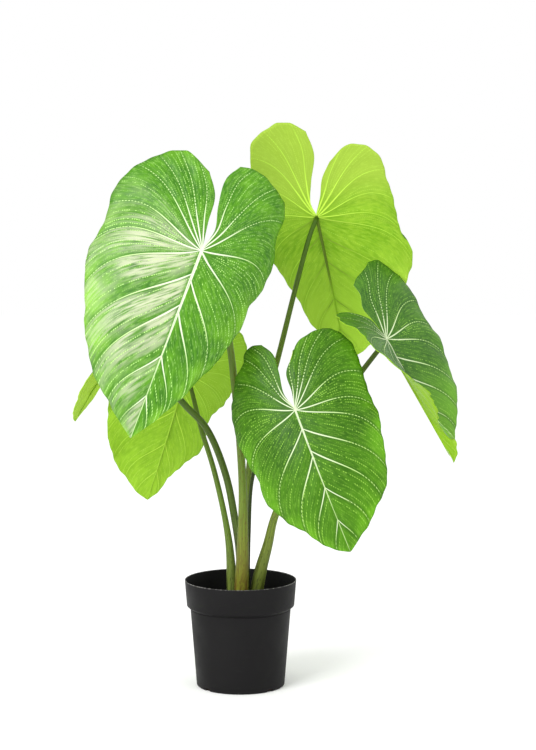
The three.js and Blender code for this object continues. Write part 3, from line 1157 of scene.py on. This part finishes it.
FRONT_LEFT = Blade(
    name="front_left", joint=(-48, -95, 589), swing=-20.8, lean=22, turn=0, length=258, droop=22,
    left=Half(
        lobe=130, lift=2, fold=even(4), arch=even(28), width=130,
        inner=((5, -38), (9, -76), (27, -105)),
        outer=((70, -123), (110, -96), (136, -57), (135, 16), (140, 50), (119, 114), (80, 189), (36, 230)),
        veins=(0.035, 0.1, 0.155, 0.215, 0.345, 0.445, 0.58, 0.7, 0.81, 0.89, 0.95),
        rib_veins=(0.71, 0.785, 0.88, 0.94),
        painted_sheen=1.0,
    ),
    right=Half(
        lobe=130, lift=2, fold=even(2), arch=even(68), width=130,
        inner=((6.5, -32), (-0.5, -64), (-3.5, -104), (8, -127)),
        outer=((26, -132), (54, -126), (74, -119), (93, -105), (97, -86), (96, -66), (104, -46), (107, -25),
               (104, 5), (94, 38), (91, 70), (84, 92), (75, 122), (52, 169), (28, 216)),
        veins=(0.04, 0.12, 0.225, 0.41, 0.615, 0.755, 0.83, 0.9, 0.955),
        rib_veins=(0.727, 0.8, 0.88, 0.94),
    ),
)
FRONT_MIDDLE = Blade(
    name="front_middle", joint=(72, -95, 384), swing=21, lean=25, turn=-3, length=197, droop=24,
    left=Half(
        lobe=95, lift=2, fold=even(2), arch=even(45), width=100,
        inner=((6.5, -26), (3, -55), (2, -82), (12, -101)),
        outer=((25, -105), (41, -99), (45, -88), (66, -71), (74, -56), (88, -40), (94, -18), (92, 32),
               (84, 70), (85, 92), (72, 123), (45, 154), (19, 186)),
        veins=(0.04, 0.09, 0.19, 0.335, 0.525, 0.74, 0.84, 0.9, 0.955),
        rib_veins=(0.715, 0.8, 0.875, 0.94),
    ),
    right=Half(
        lobe=95, lift=2, fold=even(4), arch=even(32), width=100,
        inner=((4, -25), (5.5, -51), (19, -69)),
        outer=((35, -87), (76, -93), (95, -80), (103, -43), (100, -10), (100, 41), (91, 88), (79, 127),
               (46, 163), (12, 189)),
        veins=(0.03, 0.1, 0.155, 0.235, 0.37, 0.495, 0.595, 0.705, 0.8, 0.89, 0.955),
        rib_veins=(0.715, 0.785, 0.875, 0.94),
    ),
)
BACK_RIGHT = Blade(
    name="back_right", joint=(103, 75, 628), swing=13.2, lean=-22, turn=172, length=213, droop=18,
    left=Half(
        lobe=130, lift=2, fold=even(4), arch=even(28), width=115,
        inner=((10, -27), (18, -53), (33, -76)),
        outer=((61, -97), (88, -95), (104, -75), (108, -38), (112, 0), (111, 32), (124, 63), (108, 108),
               (68, 172), (31, 199)),
        veins=(0.06, 0.15, 0.245, 0.345, 0.45, 0.56, 0.7, 0.8, 0.88, 0.95),
    ),
    right=Half(
        lobe=130, lift=2, fold=even(4), arch=even(45), width=115,
        inner=((4, -20), (-3, -52), (-15, -91), (-11, -126)),
        outer=((8, -142), (29, -144), (62, -127), (73, -95), (87, -45), (85, 14), (70, 58), (52, 105),
               (38, 150), (18, 186)),
        veins=(0.05, 0.14, 0.235, 0.35, 0.47, 0.6, 0.7, 0.8, 0.88, 0.95),
    ),
    wave=0.6,
)
RIGHT = Blade(
    name="right", joint=(194, 0, 468), swing=28.7, lean=15, turn=40, length=188, droop=0,
    left=Half(
        lobe=66, lift=4, fold=(2, 37, 92), arch=(5, 5, -5), width=100,
        inner=((8, -15), (13, -29), (31, -43)),
        outer=((46, -51), (64, -51), (77, -42), (84, -30), (77, -20), (86, -5), (90, 14), (89, 50),
               (83, 82), (60, 109), (36, 124), (21, 138), (19, 152), (29, 166), (20, 177)),
        painted_sheen=0.7,
        ruffle=2.6,
    ),
    right=Half(
        lobe=104, lift=4, fold=even(10), arch=even(30), width=100,
        inner=((-4, -28), (-9, -50), (-2, -69), (-3, -85)),
        outer=((7, -93), (23, -99), (40, -108), (55, -108), (69, -91), (80, -72), (85, -35), (83, 2),
               (90, 24), (82, 45), (75, 74), (63, 104), (38, 137), (18, 162)),
        veins=(0.08, 0.17, 0.24, 0.37, 0.47, 0.59, 0.7, 0.79, 0.87, 0.95),
        rib_veins=(0.72, 0.79, 0.87, 0.94),
    ),
    wave=0.8,
)
BACK_LEFT = Blade(
    name="back_left", joint=(-77, 150, 409), swing=-16.6, lean=-25, turn=175, length=209, droop=18,
    left=Half(
        lobe=98, lift=4, fold=even(5), arch=even(30), width=100,
        inner=((8, -30), (10, -60), (22, -80)),
        outer=((50, -93), (68, -84), (76, -64), (79, -40), (76, -10), (63, 28), (48, 72), (53, 104),
               (38, 135), (22, 160), (12, 191)),
        ruffle=1.2,
    ),
    right=Half(
        lobe=98, lift=4, fold=even(5), arch=even(30), width=100,
        inner=((6, -30), (6, -62), (16, -88)),
        outer=((40, -98), (75, -85), (98, -45), (104, 0), (102, 45), (94, 84), (85, 126), (64, 165),
               (40, 188), (16, 204)),
    ),
    rib_radii=(1.6, 0.15),
)
FAR_LEFT = Blade(
    name="far_left", joint=(-137, 0, 474), swing=-45.8, lean=-12, turn=-98, length=151, droop=20,
    left=Half(
        lobe=66, lift=4, fold=even(2), arch=even(5), width=70,
        inner=((5, -22), (4, -45), (12, -58)),
        outer=((34, -66), (56, -52), (67, -20), (68, 20), (62, 60), (50, 92), (33, 122), (14, 141)),
    ),
    right=Half(
        lobe=66, lift=4, fold=even(3), arch=even(5), width=70,
        inner=((5, -22), (4, -45), (12, -58)),
        outer=((34, -66), (56, -52), (67, -20), (68, 20), (66, 60), (57, 92), (35, 124), (14, 144)),
    ),
    wave=0.6,
)


@dataclass(frozen=True)
class Leaf:
    """A blade and the stalk that carries it, with their finishes."""

    blade: Blade
    stalk: Stalk
    slot: Slot
    upper: LeafFinish
    lower: LeafFinish
    skin: StalkFinish

    def build(self) -> None:
        """Builds the leaf's pieces."""
        upper = replace(self.upper, name="upper face " + self.blade.name).paint()
        lower = replace(self.lower, name="underside " + self.blade.name).paint()
        rib = StalkFinish("midrib " + self.blade.name, self.lower.rib, self.lower.rib, self.lower.rib_end,
                          mottle=self.lower.rib, mottled=0.0, ticks=0.9, head_from=self.lower.rib_fade)
        self.blade.build(upper, lower, self.slot)
        self.blade.build_rib(rib, self.slot)
        self.stalk.build(self.blade, replace(self.skin, name="stalk " + self.blade.name))


OLIVE = StalkFinish("stalk", foot="6c7a34", skin="56701f", head="4c621a")

LEAVES = (
    Leaf(
        FRONT_LEFT,
        Stalk((1, -6), ((3.6, -7, 200), (2.8, -9, 285), (-7, -14, 407), (-18, -34, 489)), (10.3, 6.6, 4)),
        Slot.LEAF_TOP,
        replace(TOP, deep="306810", body="549014", bright="76b224", near="d6e0c4", vein="bcdc90",
                rib="d6e0c4", rib_end="bcd898", fine="bcec84", vein_half=(1.0, 0.35), rib_half=(1.8, 0.45),
                fine_share=0.95, whole=(0.3, 0.55), tip_glow=0.0, shine=0.2, margin_glow=1.0),
        UNDER,
        StalkFinish("stalk", foot="74741e", skin="5e7426", head="466420", mottle="5c421c", mottled=90.0),
    ),
    Leaf(
        FRONT_MIDDLE,
        Stalk((10, 22), ((11.5, 17, 201), (16, 12, 277), (33, -12, 334)), (2.4, 2.2, 2.6)),
        # The stalk's colours are very dark: painted shade, for it stands behind the front-left stalk
        Slot.LEAF_TOP, TOP, UNDER, StalkFinish("stalk", foot="40521a", skin="304010", head="304010"),
    ),
    Leaf(
        BACK_RIGHT,
        Stalk((8, 33), ((10, 32, 220), (14, 32, 308), (49, 40, 433), (74.6, 52, 534), (94, 64, 604)),
              (3.4, 5.4, 3.2)),
        # The stalk's foot is coloured very dark: painted shade behind the front-left stalk
        Slot.LEAF_UNDER, TOP, UNDER, StalkFinish("stalk", foot="2a3a10", skin="667a2a", head="3c5a0a"),
    ),
    Leaf(
        RIGHT,
        Stalk((19, 10), ((27.4, 9, 154), (36.8, 9, 188.5), (47.6, 11, 231), (100, 22, 335), (163, 24, 422)),
              (10, 5.9, 3.4)),
        Slot.LEAF_TOP,
        replace(TOP, deep="28560f", body="437416", bright="588e24", tip="66a020", tip_glow=0.8, shine=0.3,
                painted_sheen="6c8a68", near="ccdcb0", vein="b4d484"),
        replace(UNDER, deep="74a212", body="8cb81e", bright="9cc430", tip_glow=0.0, rib="88a828", shine=0.1),
        StalkFinish("stalk", foot="626e28", skin="687828", head="46581c"),
    ),
    Leaf(
        BACK_LEFT,
        Stalk((-10.5, 13), ((-16, 15, 195), (-35, 37, 282), (-55, 70, 341), (-69, 110, 388)),
              (7.8, 4.9, 2.9)),
        Slot.LEAF_UNDER, TOP,
        replace(UNDER, deep="709e14", body="88b624", bright="8cb828", rib="74961a", rib_end="9cc636",
                margin_glow=0.15, lobe_from=(0.45, 0.0), tip_glow=0.1, root_shade_share=0.3, rib_half=(1.4, 0.2),
                rib_fade=(0.05, 0.45)),
        OLIVE,
    ),
    Leaf(
        FAR_LEFT,
        Stalk((-1, 26), ((-1.6, 26, 173), (-7.6, 25, 220), (-20.6, 26, 284), (-46, 28, 345), (-80, 24, 383),
                         (-117, 12, 440)), (5.4, 5.8, 4.2)),
        Slot.LEAF_UNDER, TOP, replace(UNDER, deep="8cb41c", body="a4cc2c", bright="b4d83c"),
        replace(OLIVE, foot="848e58", skin="465c18", head="3e5c10"),
    ),
)


# The pot and what is in it

@dataclass(frozen=True)
class Pot:
    """A plain tapered nursery pot with a collar and four drain notches at its foot."""

    profile: tuple[Flat, ...] = (
        (0, 0), (57.7, 0), (59.3, 1.6), (67.5, 104.2), (66.9, 104.9), (67.2, 105.7), (69.2, 106.5),
        (71.4, 108.5), (72.3, 109.3), (75, 143.5), (74.5, 144), (73.7, 143.5), (71, 111.5), (65.8, 105),
        (58, 1.8), (0, 1.8),
    )
    steps: int = 160
    rounding: float = 0.25
    least_turn: float = 12.0
    notches: int = 4
    notch_angle: float = -48.0
    notch_radius: float = 59.3
    notch_size: Triple = (9, 9, 6.8)
    finish: PotFinish = PotFinish()

    def build(self) -> None:
        """Builds the pot."""
        shell = bmesh.new()
        corners = [shell.verts.new((radius * MM, 0, height * MM)) for radius, height in self.profile]
        edges = [shell.edges.new(pair) for pair in zip(corners, corners[1:])]
        bmesh.ops.spin(shell, geom=corners + edges, cent=(0, 0, 0), axis=UP, angle=2 * math.pi,
                       steps=self.steps, use_merge=True)
        bmesh.ops.remove_doubles(shell, verts=shell.verts, dist=0.01 * MM)
        bmesh.ops.recalc_face_normals(shell, faces=shell.faces)
        everything = shell.verts[:] + shell.edges[:] + shell.faces[:]
        above_notches = (0, 0, self.notch_size[2] * MM)
        bmesh.ops.bisect_plane(shell, geom=everything, plane_co=above_notches, plane_no=UP)
        turns = [edge for edge in shell.edges if self._is_turn(edge)]
        bmesh.ops.bevel(shell, geom=turns, offset=self.rounding * MM, segments=2, profile=0.5,
                        affect="EDGES", material=-1)
        # Faces that look inwards take the second material, a darker copy of the plastic: painted shade inside
        # the pot
        for face in shell.faces:
            middle = face.calc_center_median()
            face.material_index = int(face.normal.dot(Vector((middle.x, middle.y, 0))) < 0)
        # The inside's darker plastic is painted shade
        inside = replace(self.finish, name="pot inside", plastic="040404", worn_and_highlit="070707")
        pot = finished("pot_look", shell, (self.finish.paint(), inside.paint()), Slot.POT, "pot")
        self._cut_notches(pot)

    def _is_turn(self, edge: BMEdge) -> bool:
        """Tells whether an edge runs round the pot and turns enough to be rounded."""
        level = abs(edge.verts[0].co.z - edge.verts[1].co.z) < STRAIGHT
        return level and len(edge.link_faces) == 2 and edge.calc_face_angle() > math.radians(self.least_turn)

    def _cut_notches(self, pot: Object) -> None:
        """Cuts the drain notches out of the pot's foot.

        Args:
            pot: The pot.
        """
        blocks = bmesh.new()
        size = Matrix.Diagonal((*(side * MM for side in self.notch_size), 1))
        for i in range(self.notches):
            angle = math.radians(self.notch_angle + i * 360 / self.notches)
            turned = Matrix.Rotation(angle, 4, "Z") @ Matrix.Translation((self.notch_radius * MM, 0, 0))
            bmesh.ops.create_cube(blocks, size=1.0, matrix=turned @ size)
        cutter = meshed("notch blocks", blocks)
        cut = pot.modifiers.new("Notches", "BOOLEAN")
        cut.operation = "DIFFERENCE"
        cut.solver = "EXACT"
        cut.object = cutter
        bpy.context.view_layer.update()
        shown = pot.evaluated_get(bpy.context.evaluated_depsgraph_get())
        notched = bpy.data.meshes.new_from_object(shown)
        pot.modifiers.clear()
        pot.data = notched
        pot.data.name = "pot_look"
        bpy.data.objects.remove(cutter)


@dataclass(frozen=True)
class Compost:
    """The compost that fills the pot up to below its collar, with loose crumbs on top."""

    radius: float = 63.0
    base_radius: float = 57.5
    base: float = 2.2
    sides: int = 96
    rings: int = 22
    crown: float = 3.0
    rough: float = 1.2
    clumps: float = 160.0
    crumbs: int = 260
    crumb_sizes: Flat = (1.2, 3.0)
    bark_sizes: Flat = (2.2, 4.5)
    sunk: float = 1.4
    seed: int = 11
    finish: SoilFinish = SoilFinish()
    bark: SoilFinish = SoilFinish("bark bits", dark="3b2617", light="7a5737", grains=600.0)

    def build(self) -> None:
        """Builds the body of compost and its crumbs."""
        body = bmesh.new()
        bmesh.ops.create_cone(
            body, cap_ends=True, cap_tris=False, segments=self.sides, radius1=self.base_radius * MM,
            radius2=self.radius * MM, depth=(SOIL_TOP - self.base) * MM,
            matrix=Matrix.Translation((0, 0, (SOIL_TOP + self.base) / 2 * MM)),
        )
        lid = [face for face in body.faces if face.normal.z > 0.9]
        step = self.radius / (self.rings + 2) * MM
        for _ in range(self.rings):
            bmesh.ops.inset_region(body, faces=lid, thickness=step, use_even_offset=True)
            lid = [face for face in lid if face.is_valid]
        for vertex in body.verts:
            if vertex.co.z > (SOIL_TOP - 0.5) * MM:
                out = Vector((vertex.co.x, vertex.co.y)).length / (self.radius * MM)
                rough = noise.fractal(vertex.co * self.clumps, 1.0, 2.0, 4) * self.rough - self.rough
                vertex.co.z += (self.crown * (1 - out * out) + rough) * MM
        finished("compost", body, (self.finish.paint(),), Slot.SOIL, "soil")
        self._scatter("compost_crumbs", self.finish.paint(), self.crumbs, self.crumb_sizes)
        self._scatter("bark_bits", self.bark.paint(), self.crumbs // 4, self.bark_sizes)

    def _scatter(self, name: str, material: Material, count: int, sizes: Flat) -> None:
        """Scatters rough crumbs over the compost.

        Args:
            name: The piece's name.
            material: The crumbs' material.
            count: How many there are.
            sizes: The smallest and the largest crumb's width.
        """
        draw = random.Random(self.seed + count)
        widest = self.radius * 0.94
        bits = bmesh.new()
        for _ in range(count):
            out = widest * math.sqrt(draw.random())
            angle = draw.uniform(0, 2 * math.pi)
            height = SOIL_TOP + self.crown * (1 - (out / self.radius) ** 2) - self.sunk
            size = draw.uniform(*sizes) * MM / 2
            shape = Matrix.Diagonal((size, size * draw.uniform(0.6, 1.4), size * draw.uniform(0.5, 0.9), 1))
            spot = Matrix.Translation((out * math.cos(angle) * MM, out * math.sin(angle) * MM, height * MM))
            turned = Matrix.Rotation(draw.uniform(0, 6.28), 4, Vector((draw.random(), draw.random(), 1)))
            bmesh.ops.create_icosphere(bits, subdivisions=1, radius=1.0, matrix=spot @ turned @ shape)
        finished(name, bits, (material,), Slot.SOIL)


# The studio

@dataclass(frozen=True)
class Lamp:
    """A soft square light, placed in metres, with its power in watts."""

    name: str
    place: Triple
    target: Triple
    size: float
    power: float

    def build(self) -> None:
        """Hangs the light up and points it at its target."""
        light = bpy.data.lights.new(self.name, "AREA")
        light.size = self.size
        light.energy = self.power
        holder = linked(self.name, light)
        holder.location = self.place
        towards = Vector(self.target) - Vector(self.place)
        holder.rotation_euler = towards.to_track_quat("-Z", "Y").to_euler()


@dataclass(frozen=True)
class Studio:
    """A pale floor, soft light and the camera, placed in metres."""

    floor_size: float = 14.0
    camera_place: Triple = (0.0369, -2.7606, 0.6968)
    camera_tilt: float = 84.27
    lens: float = 100.0
    sensor: float = 36.0
    key: Lamp = Lamp("key", (-1.9, -2.5, 2.3), (0, 0, 0.45), 1.8, 95.0)
    fill: Lamp = Lamp("fill", (2.4, -2.4, 1.6), (0, 0, 0.4), 2.2, 14.0)

    def build(self) -> None:
        """Sets up the floor, the light and the camera."""
        self._floor()
        self._sky()
        self.key.build()
        self.fill.build()
        camera = bpy.data.cameras.new("camera")
        camera.lens = self.lens
        camera.sensor_width = self.sensor
        holder = linked("camera", camera)
        holder.location = self.camera_place
        holder.rotation_euler = (math.radians(self.camera_tilt), 0, 0)
        bpy.context.scene.camera = holder
        bpy.context.scene.view_settings.view_transform = "Standard"

    def _floor(self) -> None:
        """Lays the floor."""
        grid = bmesh.new()
        bmesh.ops.create_grid(grid, x_segments=1, y_segments=1, size=self.floor_size / 2)
        floor = meshed("floor", grid)
        floor.data.materials.append(Shading("floor").finish("ffffff", 0.9, shine=0.1))
        floor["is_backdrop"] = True

    def _sky(self) -> None:
        """Surrounds everything with even white light."""
        world = bpy.data.worlds.new("studio")
        world.use_nodes = True
        sky = world.node_tree.nodes["Background"]
        sky.inputs["Color"].default_value = (1, 1, 1, 1)
        sky.inputs["Strength"].default_value = 1.0
        bpy.context.scene.world = world


def main() -> None:
    """Builds the plant, its pot and the studio around them."""
    logging.basicConfig(level=logging.INFO, format="%(message)s")
    Studio().build()
    Pot().build()
    Compost().build()
    for leaf in LEAVES:
        leaf.build()
    bpy.context.view_layer.update()
    {"cad": [list(c) for c in CAD_BOX], "visual": [list(c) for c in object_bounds()]}


if __name__ == "__main__":
    main()
